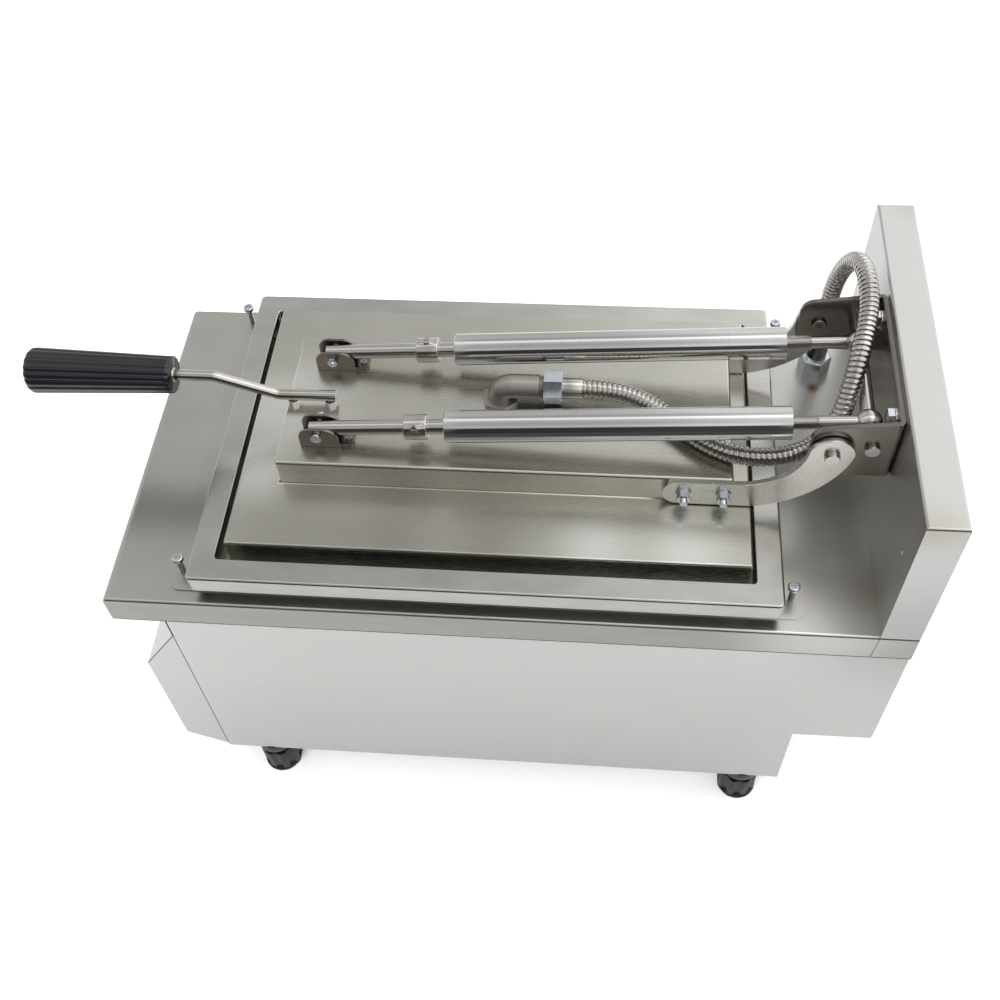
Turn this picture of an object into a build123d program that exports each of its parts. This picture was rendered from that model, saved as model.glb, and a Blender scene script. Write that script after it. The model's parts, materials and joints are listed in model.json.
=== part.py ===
"""Countertop press baker: a hinged baking lid, pulled open by two spring struts, on a steel cabinet.

Millimetres, +Z up, +Y towards the back, +X to the operator's right. The origin is at the bottom
centre of the whole object's box. Heights are measured up from the deck's top face and depths back
from the deck's front edge, and side() turns such a pair into Y and Z.
"""
from build123d import *
import math
import os

os.makedirs("parts", exist_ok=True)

# ---------------------------------------------------------------- driving dimensions
deck_z = 340.0            # deck's top face above the surface that the feet stand on
front_y = -294.0          # deck's front edge
deck_width = 340.0
body_depth = 672.0
skirt = 31.0              # height of the deck's folded skirt
sheet = 1.2               # thickness of the folded sheet

splash_thick = 31.0
splash_height = 153.0

panel_x = 168.6           # outer face of the side panels
panel_front = 47.0        # depth of the panels' front edge
base_z = 58.0             # underside of the cabinet
notch_depth = 600.0       # the cabinet's underside steps up from here to the back
notch_z = 156.0

frame_half = 163.7        # raised spill frame round the plates
frame_front, frame_back = 78.0, 563.4
frame_top = 29.8
frame_side = 17.3
well_half = 142.6
well_front, well_back = 98.8, 541.5

lid_half = 134.0          # lower, wide tier of the lid
lid_front, lid_back = 107.0, 537.8
lid_low, lid_top = 14.2, 40.7
box_half = 70.6           # upper, narrow tier of the lid
box_front, box_back = 142.3, 521.5
box_top = 68.7

plate_half = 131.0        # cast baking plates
plate_front, plate_back = 110.0, 534.8
plate_low, plate_part = -12.0, 12.0

pivot = (591.0, 111.5)    # lid hinge: depth and height
anchor = (621.0, 115.5)   # cross shaft that the struts pull on
clevis = (178.0, 82.5)    # strut pins on the lid
strut_x = 43.0
pin_r = 6.0
running = 0.06            # radial clearance of a turning fit
arm_thick = 5.0
cheek_out = 69.8
cheek_thick = 4.0

tube_r, tube_bore = 13.5, 11.7
rod_r = 6.25
tube_start, tube_end = 108.0, 385.5   # along the strut from its front pin
collar_start, collar_end = 74.0, 93.5

handle_x = 4.0
handle_rod_r = 4.7
elbow_x, elbow_depth = -8.0, 326.0
elbow_rise = 85.5
gland_x, gland_depth = -119.0, 608.0
conduit_r = 7.9


# ---------------------------------------------------------------- helpers
def side(depth, height):
    """Y and Z of a point given by its depth behind the front edge and height above the deck."""
    return (front_y + depth, deck_z + height)


def level(height):
    """Horizontal plane at a height above the deck."""
    return Plane.XY.offset(deck_z + height)


def upright(x):
    """Plane across X, whose sketch axes are Y and Z."""
    return Plane.YZ.offset(x)


def facing_front(y):
    """Plane across Y that faces the operator, whose sketch axes are X and Z."""
    return Plane.XZ.offset(-y)


def middle(front, back):
    """Y of the middle between two depths."""
    return front_y + (front + back) / 2


def block(half, front, back, low, high):
    """Rectangular block, centred across X, between two depths and two heights above the deck."""
    with BuildSketch(level(low)) as area:
        with Locations((0, middle(front, back))):
            Rectangle(2 * half, back - front)
    extrude(area.sketch, amount=high - low)


def outline(points):
    """Closed straight-sided face through a list of points, in the sketch being built."""
    with BuildLine() as edge:
        Polyline(*points, close=True)
    make_face(edge.edges())


# ---------------------------------------------------------------- cabinet
with BuildPart() as deck_top:
    block(deck_width / 2, 0, body_depth, -skirt, 0)
    fillet(deck_top.edges().filter_by(Axis.X).group_by(Axis.Z)[-1].sort_by(Axis.Y)[0], radius=6)
    fillet(deck_top.faces().sort_by(Axis.Z)[-1].edges().filter_by(Axis.Y), radius=2.5)
    hollow = [deck_top.faces().sort_by(Axis.Z)[0], deck_top.faces().sort_by(Axis.Y)[-1]]
    offset(amount=-sheet, openings=hollow)
    with BuildSketch(level(1)):
        with Locations((0, middle(103, 542))):
            Rectangle(2 * 136.4, 440)
        with Locations((gland_x, front_y + gland_depth)):
            Circle(9.5)
        with Locations(*[(x, front_y + d) for x in (138, -155) for d in (64.3, 572.5)]):
            Circle(2.3)
    extrude(amount=-4, mode=Mode.SUBTRACT)
deck_top.part.label = "deck_top"
export_step(deck_top.part, "parts/deck_top.step")

bolt_x, bolt_rise = 52.0, 132.0
splash_front = body_depth - splash_thick
with BuildPart() as splash_guard:
    block(deck_width / 2, splash_front, body_depth, 0, splash_height)
    fillet(splash_guard.faces().sort_by(Axis.Z)[-1].edges(), radius=2)
    offset(amount=-sheet, openings=splash_guard.faces().sort_by(Axis.Z)[0])
    with BuildSketch(facing_front(front_y + splash_front - 1)):
        with Locations((bolt_x, deck_z + bolt_rise), (-bolt_x, deck_z + bolt_rise)):
            Circle(4.2)
    extrude(amount=-4, mode=Mode.SUBTRACT)
splash_guard.part.label = "splash_guard"
export_step(splash_guard.part, "parts/splash_guard.step")


def side_panel(outer, inward):
    """One side of the cabinet with its stepped underside, and a flange folded in along the floor."""
    with BuildSketch(upright(outer)) as wall:
        outline([
            (front_y + panel_front, base_z),
            (front_y + notch_depth, base_z),
            (front_y + notch_depth, notch_z),
            (front_y + body_depth - sheet, notch_z),
            (front_y + body_depth - sheet, deck_z - 3),
            (front_y + panel_front, deck_z - 3),
        ])
    extrude(wall.sketch, amount=inward * sheet)
    with BuildSketch(Plane.XY.offset(base_z + sheet)) as flange:
        with Locations((outer + inward * 8, middle(panel_front + 3, notch_depth - 3))):
            Rectangle(16, notch_depth - panel_front - 6)
    extrude(flange.sketch, amount=sheet)


with BuildPart() as side_panel_right:
    side_panel(panel_x, -1)
side_panel_right.part.label = "side_panel_right"
export_step(side_panel_right.part, "parts/side_panel_right.step")

with BuildPart() as side_panel_left:
    side_panel(-panel_x, 1)
side_panel_left.part.label = "side_panel_left"
export_step(side_panel_left.part, "parts/side_panel_left.step")

inner_half = panel_x - sheet
with BuildPart() as front_panel:
    with BuildSketch(facing_front(front_y + panel_front)):
        with Locations((0, (base_z + sheet + deck_z - 3) / 2)):
            Rectangle(2 * inner_half, deck_z - 3 - base_z - sheet)
        with Locations((0, deck_z - 170)):
            Rectangle(300, 150, mode=Mode.SUBTRACT)
    extrude(amount=-sheet)
front_panel.part.label = "front_panel"
export_step(front_panel.part, "parts/front_panel.step")

with BuildPart() as rear_panel:
    with BuildSketch(upright(-inner_half)):
        outline([
            (front_y + notch_depth - 2 * sheet, base_z + sheet),
            (front_y + notch_depth - sheet, base_z + sheet),
            (front_y + notch_depth - sheet, notch_z + sheet),
            (front_y + body_depth, notch_z + sheet),
            (front_y + body_depth, deck_z - sheet),
            (front_y + body_depth - sheet, deck_z - sheet),
            (front_y + body_depth - sheet, notch_z + 2 * sheet),
            (front_y + notch_depth - 2 * sheet, notch_z + 2 * sheet),
        ])
    extrude(amount=2 * inner_half)
    inlet_x, inlet_z = 110.0, 108.0
    with BuildSketch(facing_front(front_y + notch_depth + 2)):
        with Locations((inlet_x, inlet_z)):
            Circle(10)
        with Locations(*[(x, inlet_z) for x in range(-120, 60, 15)]):
            SlotOverall(50, 5, rotation=90)
    extrude(amount=8, mode=Mode.SUBTRACT)
rear_panel.part.label = "rear_panel"
export_step(rear_panel.part, "parts/rear_panel.step")

with BuildPart() as bottom_plate:
    with BuildSketch(Plane.XY.offset(base_z)):
        with Locations((0, middle(panel_front + sheet, notch_depth - sheet))):
            Rectangle(2 * inner_half, notch_depth - panel_front - 2 * sheet)
    extrude(amount=sheet)
bottom_plate.part.label = "bottom_plate"
export_step(bottom_plate.part, "parts/bottom_plate.step")

# ---------------------------------------------------------------- control box and its controls
face_y = front_y + 9.0
face_top, face_foot = deck_z - 112, deck_z - 256
control_z = deck_z - 184
dial_x, switch_z, lamp_z = 90.0, deck_z - 202, deck_z - 160
fascia_thick = 1.5
with BuildPart() as control_box:
    with BuildSketch(upright(-panel_x)):
        outline([
            (front_y + panel_front, deck_z - 58),
            (face_y, face_top),
            (face_y, face_foot),
            (front_y + panel_front, base_z + 4),
        ])
    extrude(amount=2 * panel_x)
    offset(amount=-sheet, openings=control_box.faces().sort_by(Axis.Y)[-1])
    with BuildSketch(facing_front(face_y - 1)):
        with Locations((dial_x, control_z), (-dial_x, control_z)):
            Circle(6)
        with Locations((0, switch_z)):
            Rectangle(31, 23)
        with Locations((-22, lamp_z), (22, lamp_z)):
            Circle(6.3)
    extrude(amount=-5, mode=Mode.SUBTRACT)
control_box.part.label = "control_box"
export_step(control_box.part, "parts/control_box.step")

with BuildPart() as control_fascia:
    with BuildSketch(facing_front(face_y)):
        with Locations((0, control_z)):
            RectangleRounded(300, 118, radius=6)
        with Locations((dial_x, control_z), (-dial_x, control_z)):
            Circle(6, mode=Mode.SUBTRACT)
        with Locations((0, switch_z)):
            Rectangle(31, 23, mode=Mode.SUBTRACT)
        with Locations((-22, lamp_z), (22, lamp_z)):
            Circle(6.3, mode=Mode.SUBTRACT)
    extrude(amount=fascia_thick)
control_fascia.part.label = "control_fascia"
export_step(control_fascia.part, "parts/control_fascia.step")

knob_back = face_y - fascia_thick - 0.8
for name, x in (("temperature_knob", dial_x), ("timer_knob", -dial_x)):
    with BuildPart() as knob:
        with BuildSketch(facing_front(knob_back)):
            with Locations((x, control_z)):
                Circle(20)
        extrude(amount=4)
        fillet(knob.edges().sort_by(Axis.Y)[0], radius=1)
        with BuildSketch(facing_front(knob_back - 4)):
            with Locations((x, control_z)):
                Circle(15.5)
                with PolarLocations(16, 12, start_angle=15):
                    Circle(1.8, mode=Mode.SUBTRACT)
        extrude(amount=13, taper=2)
        with BuildSketch(facing_front(knob_back - 17)):
            with Locations((x, control_z + 9)):
                Rectangle(2, 9)
        extrude(amount=-1, mode=Mode.SUBTRACT)
        with BuildSketch(facing_front(knob_back)):
            with Locations((x, control_z)):
                Circle(3)
        extrude(amount=-18)
    knob.part.label = name
    export_step(knob.part, f"parts/{name}.step")

for name, x in (("thermostat", dial_x), ("timer_unit", -dial_x)):
    with BuildPart() as unit:
        with BuildSketch(facing_front(face_y + sheet)):
            with Locations((x, control_z)):
                RectangleRounded(46, 46, radius=4)
                Circle(3 + running, mode=Mode.SUBTRACT)
        extrude(amount=-34)
    unit.part.label = name
    export_step(unit.part, f"parts/{name}.step")

switch_y = face_y - fascia_thick
with BuildPart() as switch_housing:
    with BuildSketch(facing_front(switch_y)):
        with Locations((0, switch_z)):
            RectangleRounded(36, 28, radius=2)
            Rectangle(25, 17, mode=Mode.SUBTRACT)
    extrude(amount=1.5)
    with BuildSketch(facing_front(switch_y)):
        with Locations((0, switch_z)):
            Rectangle(30, 22)
            Rectangle(25, 17, mode=Mode.SUBTRACT)
    extrude(amount=-20)
    with BuildSketch(facing_front(switch_y + 20)):
        with Locations((0, switch_z)):
            Rectangle(30, 22)
    extrude(amount=-2)
switch_housing.part.label = "switch_housing"
export_step(switch_housing.part, "parts/switch_housing.step")

rock_y = switch_y + 5.0
rock_tilt = 8.0           # the rocker rests with its lower half pressed in
rock_frame = upright(-11.8).location * Location((rock_y, switch_z, 0), (0, 0, rock_tilt))
with BuildPart() as power_switch:
    with BuildSketch(Plane(rock_frame)):
        outline([(-7.4, -6.9), (-5.6, 0), (-7.4, 6.9), (2, 6.9), (4, 0), (2, -6.9)])
    extrude(amount=23.6)
power_switch.part.label = "power_switch"
export_step(power_switch.part, "parts/power_switch.step")

with BuildPart() as pilot_lamps:
    for x in (-22, 22):
        with BuildSketch(facing_front(switch_y)):
            with Locations((x, lamp_z)):
                Circle(8.5)
        extrude(amount=3)
        with BuildSketch(facing_front(switch_y)):
            with Locations((x, lamp_z)):
                Circle(6.2)
        extrude(amount=-22)
    fillet(pilot_lamps.edges().filter_by(GeomType.CIRCLE).group_by(Axis.Y)[0], radius=1.4)
pilot_lamps.part.label = "pilot_lamps"
export_step(pilot_lamps.part, "parts/pilot_lamps.step")

# ---------------------------------------------------------------- spill frame on the deck
flange_thick = 1.5
screw_places = [(x, front_y + d) for x in (138.0, -155.0) for d in (64.3, 572.5)]
with BuildPart() as mounting_flange:
    with BuildSketch(level(0)):
        with Locations((-5.5, middle(55.5, 583))):
            RectangleRounded(325, 527.5, radius=9)
        with Locations((0, middle(103, 542))):
            Rectangle(2 * 134.8, 436.6, mode=Mode.SUBTRACT)
        with Locations((gland_x, front_y + gland_depth)):
            Circle(16, mode=Mode.SUBTRACT)
        with Locations(*screw_places):
            Circle(2.3, mode=Mode.SUBTRACT)
    extrude(amount=flange_thick)
mounting_flange.part.label = "mounting_flange"
export_step(mounting_flange.part, "parts/mounting_flange.step")

with BuildPart() as spill_frame:
    with BuildSketch(level(frame_top - frame_side)):
        with Locations((0, middle(frame_front, frame_back))):
            RectangleRounded(2 * frame_half, frame_back - frame_front, radius=5)
    extrude(amount=frame_side)
    fillet(spill_frame.faces().sort_by(Axis.Z)[-1].edges(), radius=2.2)
    with BuildSketch(level(frame_top - frame_side)):
        with Locations((0, middle(frame_front, frame_back))):
            RectangleRounded(2 * (frame_half - sheet), frame_back - frame_front - 2 * sheet, radius=4)
    extrude(amount=frame_side - 1.6, mode=Mode.SUBTRACT)
    with BuildSketch(level(flange_thick)):
        with Locations((0, middle(well_front, well_back))):
            RectangleRounded(2 * (well_half + sheet), well_back - well_front + 2 * sheet, radius=4.2)
    extrude(amount=frame_top - flange_thick)
    with BuildSketch(level(0)):
        with Locations((0, middle(well_front, well_back))):
            RectangleRounded(2 * well_half, well_back - well_front, radius=3)
    extrude(amount=frame_top + 5, mode=Mode.SUBTRACT)
    fillet(spill_frame.faces().sort_by(Axis.Z)[-1].inner_wires()[0].edges(), radius=1)
spill_frame.part.label = "spill_frame"
export_step(spill_frame.part, "parts/spill_frame.step")

screw_top = 22.0
with BuildPart() as frame_screws:
    with BuildSketch(level(-9)):
        with Locations(*screw_places):
            Circle(2.25)
    extrude(amount=9 + screw_top - 3.4)
    with BuildSketch(level(screw_top - 3.4)):
        with Locations(*screw_places):
            Circle(5)
    extrude(amount=3.4)
    fillet(frame_screws.edges().filter_by(GeomType.CIRCLE).group_by(Axis.Z)[-1], radius=1.6)
    with BuildSketch(level(screw_top)):
        with Locations(*screw_places):
            Rectangle(5.2, 1.1)
            Rectangle(1.1, 5.2)
    extrude(amount=-1.6, mode=Mode.SUBTRACT)
frame_screws.part.label = "frame_screws"
export_step(frame_screws.part, "parts/frame_screws.step")

# ---------------------------------------------------------------- baking plates and heaters
tile_count = (2, 3)
tile_gap = 1.0
tile_size = (
    2 * plate_half / tile_count[0] - tile_gap,
    (plate_back - plate_front) / tile_count[1] - tile_gap,
)
tile_pitch = (tile_size[0] + tile_gap, tile_size[1] + tile_gap)
cavity_size, cavity_depth = (114.0, 126.0), 9.0
rib_pitch, rib_width, rib_height = 18.0, 4.0, 2.0
plate_mid = middle(plate_front, plate_back)


def cast_tiles(parting, back_face, up):
    """Cast tiles in a grid, each with a ribbed mould in its parting face; up is +1 below that face."""
    with BuildSketch(level(parting)) as faces:
        with Locations((0, plate_mid)):
            with GridLocations(*tile_pitch, *tile_count):
                Rectangle(*tile_size)
    extrude(faces.sketch, amount=back_face - parting)
    with BuildSketch(level(parting)) as mouths:
        with Locations((0, plate_mid)):
            with GridLocations(*tile_pitch, *tile_count):
                RectangleRounded(*cavity_size, radius=8)
    extrude(mouths.sketch, amount=-up * cavity_depth, mode=Mode.SUBTRACT, taper=12)
    with BuildSketch(level(parting - up * cavity_depth)) as ribs:
        with Locations((0, plate_mid)):
            with GridLocations(*tile_pitch, *tile_count):
                with GridLocations(rib_pitch, 0, 5, 1):
                    Rectangle(rib_width, cavity_size[1] - 6)
                with GridLocations(0, rib_pitch, 1, 6):
                    Rectangle(cavity_size[0] - 6, rib_width)
    extrude(ribs.sketch, amount=up * rib_height)


with BuildPart() as lower_plate:
    cast_tiles(plate_part, plate_low, 1)
lower_plate.part.label = "lower_plate"
export_step(lower_plate.part, "parts/lower_plate.step")

upper_part, upper_back_face = plate_part + 0.5, 31.0
with BuildPart() as upper_plate:
    cast_tiles(upper_part, upper_back_face, -1)
upper_plate.part.label = "upper_plate"
export_step(upper_plate.part, "parts/upper_plate.step")

stud_x, stud_r = 110.0, 5.0
with BuildPart() as plate_studs:
    with BuildSketch(level(upper_back_face)):
        with Locations((0, plate_mid)):
            with GridLocations(2 * stud_x, tile_pitch[1] / 2, 2, 2 * tile_count[1]):
                Circle(stud_r)
    extrude(amount=lid_top - sheet - upper_back_face)
plate_studs.part.label = "plate_studs"
export_step(plate_studs.part, "parts/plate_studs.step")

heater_r = 4.0


def heater(height, half_width, runs):
    """Sheathed heating element bent to and fro in one level plane."""
    first, last = front_y + plate_front + 30, front_y + plate_back - 30
    pitch = 2 * half_width / (runs - 1)
    corners = []
    for index in range(runs):
        ends = (first, last) if index % 2 == 0 else (last, first)
        corners += [(-half_width + index * pitch, ends[0]), (-half_width + index * pitch, ends[1])]
    with BuildLine(level(height)) as route:
        FilletPolyline(*corners, radius=pitch * 0.45)
    start = route.wires()[0] @ 0
    with BuildSketch(Plane(origin=start, x_dir=(1, 0, 0), z_dir=(0, 1, 0))) as section:
        Circle(heater_r)
    sweep(section.sketch, path=route.wires()[0])


with BuildPart() as lower_heater:
    heater(plate_low - heater_r - 0.2, 95, 4)
lower_heater.part.label = "lower_heater"
export_step(lower_heater.part, "parts/lower_heater.step")

with BuildPart() as upper_heater:
    heater(upper_back_face + heater_r + 0.2, 48, 4)
upper_heater.part.label = "upper_heater"
export_step(upper_heater.part, "parts/upper_heater.step")

pan_floor = -42.0
with BuildPart() as lower_pan:
    block(136.0, 104, 541, pan_floor, 0)
    with BuildSketch(level(pan_floor + sheet)):
        with Locations((0, middle(104, 541))):
            Rectangle(2 * (136.0 - sheet), 437 - 2 * sheet)
    extrude(amount=60, mode=Mode.SUBTRACT)
    with BuildSketch(level(pan_floor + sheet)):
        with Locations((0, plate_mid)):
            with GridLocations(236, 390, 2, 2):
                Circle(7)
            with GridLocations(236, tile_pitch[1], 2, 2):
                Circle(7)
    extrude(amount=plate_low - pan_floor - sheet)
lower_pan.part.label = "lower_pan"
export_step(lower_pan.part, "parts/lower_pan.step")

# ---------------------------------------------------------------- feet, gland and cabinet fittings
foot_places = [(x, front_y + d) for x in (-150.0, 150.0) for d in (90.0, 566.0)]
foot_r, scallop_r, scallop_depth = 19.0, 9.0, 1.8
with BuildPart() as feet:
    for x, y in foot_places:
        with BuildSketch(Plane.XY):
            with Locations((x, y)):
                Circle(foot_r)
                with PolarLocations(foot_r + scallop_r - scallop_depth, 8):
                    Circle(scallop_r, mode=Mode.SUBTRACT)
        extrude(amount=38)
        with BuildSketch(Plane.XY.offset(38)):
            with Locations((x, y)):
                Circle(14)
        extrude(amount=8)
        with BuildSketch(Plane.XY.offset(46)):
            with Locations((x, y)):
                Circle(foot_r + 0.5)
        extrude(amount=base_z - 46)
feet.part.label = "feet"
export_step(feet.part, "parts/feet.step")

gland_nut, gland_top = 18.0, 44.0
with BuildPart() as deck_gland:
    with BuildSketch(level(0)):
        with Locations((gland_x, front_y + gland_depth)):
            RegularPolygon(radius=12.5, side_count=6, major_radius=False, rotation=15)
    extrude(amount=gland_nut)
    chamfer(deck_gland.edges().group_by(Axis.Z)[-1], length=1.2)
    with BuildSketch(level(-16)):
        with Locations((gland_x, front_y + gland_depth)):
            Circle(9.4)
    extrude(amount=16)
    with BuildSketch(level(gland_nut)):
        with Locations((gland_x, front_y + gland_depth)):
            Circle(9.2)
    extrude(amount=gland_top - gland_nut)
    with BuildSketch(level(-17)):
        with Locations((gland_x, front_y + gland_depth)):
            Circle(5.5)
    extrude(amount=gland_top + 13, mode=Mode.SUBTRACT)
deck_gland.part.label = "deck_gland"
export_step(deck_gland.part, "parts/deck_gland.step")

with BuildPart() as terminal_block:
    with BuildSketch(Plane.XY.offset(base_z + sheet)):
        with Locations((60, middle(500, 530))):
            Rectangle(110, 30)
    extrude(amount=26)
    with BuildSketch(Plane.XY.offset(base_z + sheet + 26)):
        with Locations((60, middle(500, 530))):
            with GridLocations(16, 16, 6, 2):
                Circle(4)
    extrude(amount=-8, mode=Mode.SUBTRACT)
terminal_block.part.label = "terminal_block"
export_step(terminal_block.part, "parts/terminal_block.step")

gland_y = front_y + notch_depth - sheet
with BuildPart() as mains_gland:
    with BuildSketch(facing_front(gland_y)):
        with Locations((inlet_x, inlet_z)):
            RegularPolygon(radius=13, side_count=6, major_radius=False)
    extrude(amount=-7)
    with BuildSketch(facing_front(gland_y + 7)):
        with Locations((inlet_x, inlet_z)):
            Circle(11)
    extrude(amount=-14, taper=8)
    with BuildSketch(facing_front(gland_y)):
        with Locations((inlet_x, inlet_z)):
            Circle(9.8)
    extrude(amount=12)
    with BuildSketch(facing_front(gland_y - 13)):
        with Locations((inlet_x, inlet_z)):
            Circle(5)
    extrude(amount=-36, mode=Mode.SUBTRACT)
mains_gland.part.label = "mains_gland"
export_step(mains_gland.part, "parts/mains_gland.step")

# ---------------------------------------------------------------- hinge bracket and shafts
bracket_low, bracket_back, bracket_front = 81.5, 144.5, 136.0
plate_thick = 4.0
back_y = front_y + splash_front
with BuildPart() as hinge_bracket:
    with BuildSketch(upright(-cheek_out)):
        with BuildLine():
            Polyline(
                side(splash_front, bracket_low),
                side(604, bracket_low),
                side(574, 96),
                side(574, bracket_front - 12),
                close=False,
            )
            TangentArc(side(574, bracket_front - 12), side(585, bracket_front), tangent=(0, 1))
            Polyline(
                side(585, bracket_front),
                side(splash_front, bracket_back),
                side(splash_front, bracket_low),
            )
        make_face()
    extrude(amount=2 * cheek_out)
    bends = hinge_bracket.edges().filter_by(Axis.Z).group_by(Axis.Y)[-1]
    fillet(bends, radius=5)
    with BuildSketch(level(bracket_low - 5)):
        with Locations((0, back_y - plate_thick - 50)):
            Rectangle(2 * (cheek_out - cheek_thick), 100)
    extrude(amount=90, mode=Mode.SUBTRACT)
    with BuildSketch(upright(-cheek_out - 1)):
        with Locations(side(*pivot), side(*anchor)):
            Circle(pin_r)
    extrude(amount=2 * cheek_out + 2, mode=Mode.SUBTRACT)
    with BuildSketch(facing_front(back_y + 1)):
        with Locations((bolt_x, deck_z + bolt_rise), (-bolt_x, deck_z + bolt_rise)):
            Circle(4.2)
    extrude(amount=6, mode=Mode.SUBTRACT)
hinge_bracket.part.label = "hinge_bracket"
export_step(hinge_bracket.part, "parts/hinge_bracket.step")

washer_thick = 1.6
head_y = back_y - plate_thick - washer_thick
with BuildPart() as bracket_bolts:
    for x in (-bolt_x, bolt_x):
        with BuildSketch(facing_front(back_y - plate_thick)):
            with Locations((x, deck_z + bolt_rise)):
                Circle(8.5)
        extrude(amount=washer_thick)
        with BuildSketch(facing_front(head_y)):
            with Locations((x, deck_z + bolt_rise)):
                RegularPolygon(radius=6.5, side_count=6, major_radius=False)
        extrude(amount=5.3)
        with BuildSketch(facing_front(head_y)):
            with Locations((x, deck_z + bolt_rise)):
                Circle(4)
        extrude(amount=-18)
        with BuildSketch(facing_front(back_y + sheet)):
            with Locations((x, deck_z + bolt_rise)):
                RegularPolygon(radius=6.5, side_count=6, major_radius=False)
        extrude(amount=-6)
bracket_bolts.part.label = "bracket_bolts"
export_step(bracket_bolts.part, "parts/bracket_bolts.step")

with BuildPart() as cross_shaft:
    with BuildSketch(upright(-cheek_out - 4)):
        with Locations(side(*anchor)):
            Circle(pin_r)
    extrude(amount=2 * cheek_out + 8)
    chamfer(cross_shaft.edges().filter_by(GeomType.CIRCLE), length=0.6)
cross_shaft.part.label = "cross_shaft"
export_step(cross_shaft.part, "parts/cross_shaft.step")

pin_out = box_half + arm_thick + 4.5
pin_in = cheek_out - cheek_thick - 3
with BuildPart() as pivot_pins:
    for start in (pin_in, -pin_out):
        with BuildSketch(upright(start)):
            with Locations(side(*pivot)):
                Circle(pin_r)
        extrude(amount=pin_out - pin_in)
    chamfer(pivot_pins.edges().filter_by(GeomType.CIRCLE), length=0.6)
pivot_pins.part.label = "pivot_pins"
export_step(pivot_pins.part, "parts/pivot_pins.step")

# ---------------------------------------------------------------- lid
with BuildPart() as lid_cover:
    block(lid_half, lid_front, lid_back, lid_low, lid_top)
    fillet(lid_cover.edges().filter_by(Axis.Z), radius=2)
    fillet(lid_cover.faces().sort_by(Axis.Z)[-1].edges(), radius=1.8)
    offset(amount=-sheet, openings=lid_cover.faces().sort_by(Axis.Z)[0])
    with BuildSketch(level(lid_top - 5)):
        with Locations((0, middle(box_front, box_back))):
            Rectangle(120, 350)
    extrude(amount=10, mode=Mode.SUBTRACT)
lid_cover.part.label = "lid_cover"
export_step(lid_cover.part, "parts/lid_cover.step")

arm_bolt_depths, arm_bolt_rise = (482.0, 514.0), 55.0
nut_places = [(handle_x, front_y + d) for d in (148.5, 180.5)]
tab_depth = 202.5
tab_screws = [(x, front_y + tab_depth) for x in (strut_x, -strut_x)]
with BuildPart() as lid_box:
    block(box_half, box_front, box_back, lid_top, box_top)
    fillet(lid_box.edges().filter_by(Axis.Z), radius=3)
    fillet(lid_box.faces().sort_by(Axis.Z)[-1].edges(), radius=2.5)
    offset(amount=-sheet, openings=lid_box.faces().sort_by(Axis.Z)[0])
    with BuildSketch(level(box_top - 5)):
        with Locations((elbow_x, front_y + elbow_depth)):
            Circle(8.6)
        with Locations(*nut_places):
            Circle(2.6)
        with Locations(*tab_screws):
            Circle(2.1)
    extrude(amount=10, mode=Mode.SUBTRACT)
    with BuildSketch(upright(-box_half - 5)):
        with Locations(*[side(d, arm_bolt_rise) for d in arm_bolt_depths]):
            Circle(3.1)
    extrude(amount=2 * box_half + 10, mode=Mode.SUBTRACT)
lid_box.part.label = "lid_box"
export_step(lid_box.part, "parts/lid_box.step")

with BuildPart() as insulation_pad:
    block(55.0, box_front + 12, box_back - 12, 42.0, 59.0)
insulation_pad.part.label = "insulation_pad"
export_step(insulation_pad.part, "parts/insulation_pad.step")

arm_round = 17.5
for name, inner_face in (("hinge_arm_right", box_half), ("hinge_arm_left", -box_half - arm_thick)):
    with BuildPart() as arm:
        with BuildSketch(upright(inner_face)):
            with BuildLine():
                Line(side(473, 69.0), side(530, 69.0))
                ThreePointArc(side(530, 69.0), side(558, 82.0), side(573.5, pivot[1]))
                ThreePointArc(side(573.5, pivot[1]), side(591, pivot[1] + arm_round), side(608.5, pivot[1]))
                ThreePointArc(side(608.5, pivot[1]), side(584, 66.5), side(538, 42.0))
                Line(side(538, 42.0), side(478, 42.0))
                ThreePointArc(side(478, 42.0), side(464.5, 54.5), side(473, 69.0))
            make_face()
            with Locations(side(*pivot)):
                Circle(pin_r + running, mode=Mode.SUBTRACT)
            with Locations(*[side(d, arm_bolt_rise) for d in arm_bolt_depths]):
                Circle(3.1, mode=Mode.SUBTRACT)
        extrude(amount=arm_thick)
    arm.part.label = name
    export_step(arm.part, f"parts/{name}.step")

with BuildPart() as arm_bolts:
    for sign in (-1, 1):
        outer = box_half + arm_thick
        for start, length, radius, sides in (
            (box_half - sheet - 3, 3.0, 4.2, 0),
            (box_half - sheet, sheet + arm_thick + 10.5, 3.0, 0),
            (outer, 1.2, 7.0, 0),
            (outer + 1.2, 5.0, 5.0, 6),
        ):
            low = start if sign > 0 else -start - length
            with BuildSketch(upright(low)):
                with Locations(*[side(d, arm_bolt_rise) for d in arm_bolt_depths]):
                    if sides:
                        RegularPolygon(radius=radius, side_count=sides, major_radius=False)
                    else:
                        Circle(radius)
            extrude(amount=length)
arm_bolts.part.label = "arm_bolts"
export_step(arm_bolts.part, "parts/arm_bolts.step")

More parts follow.
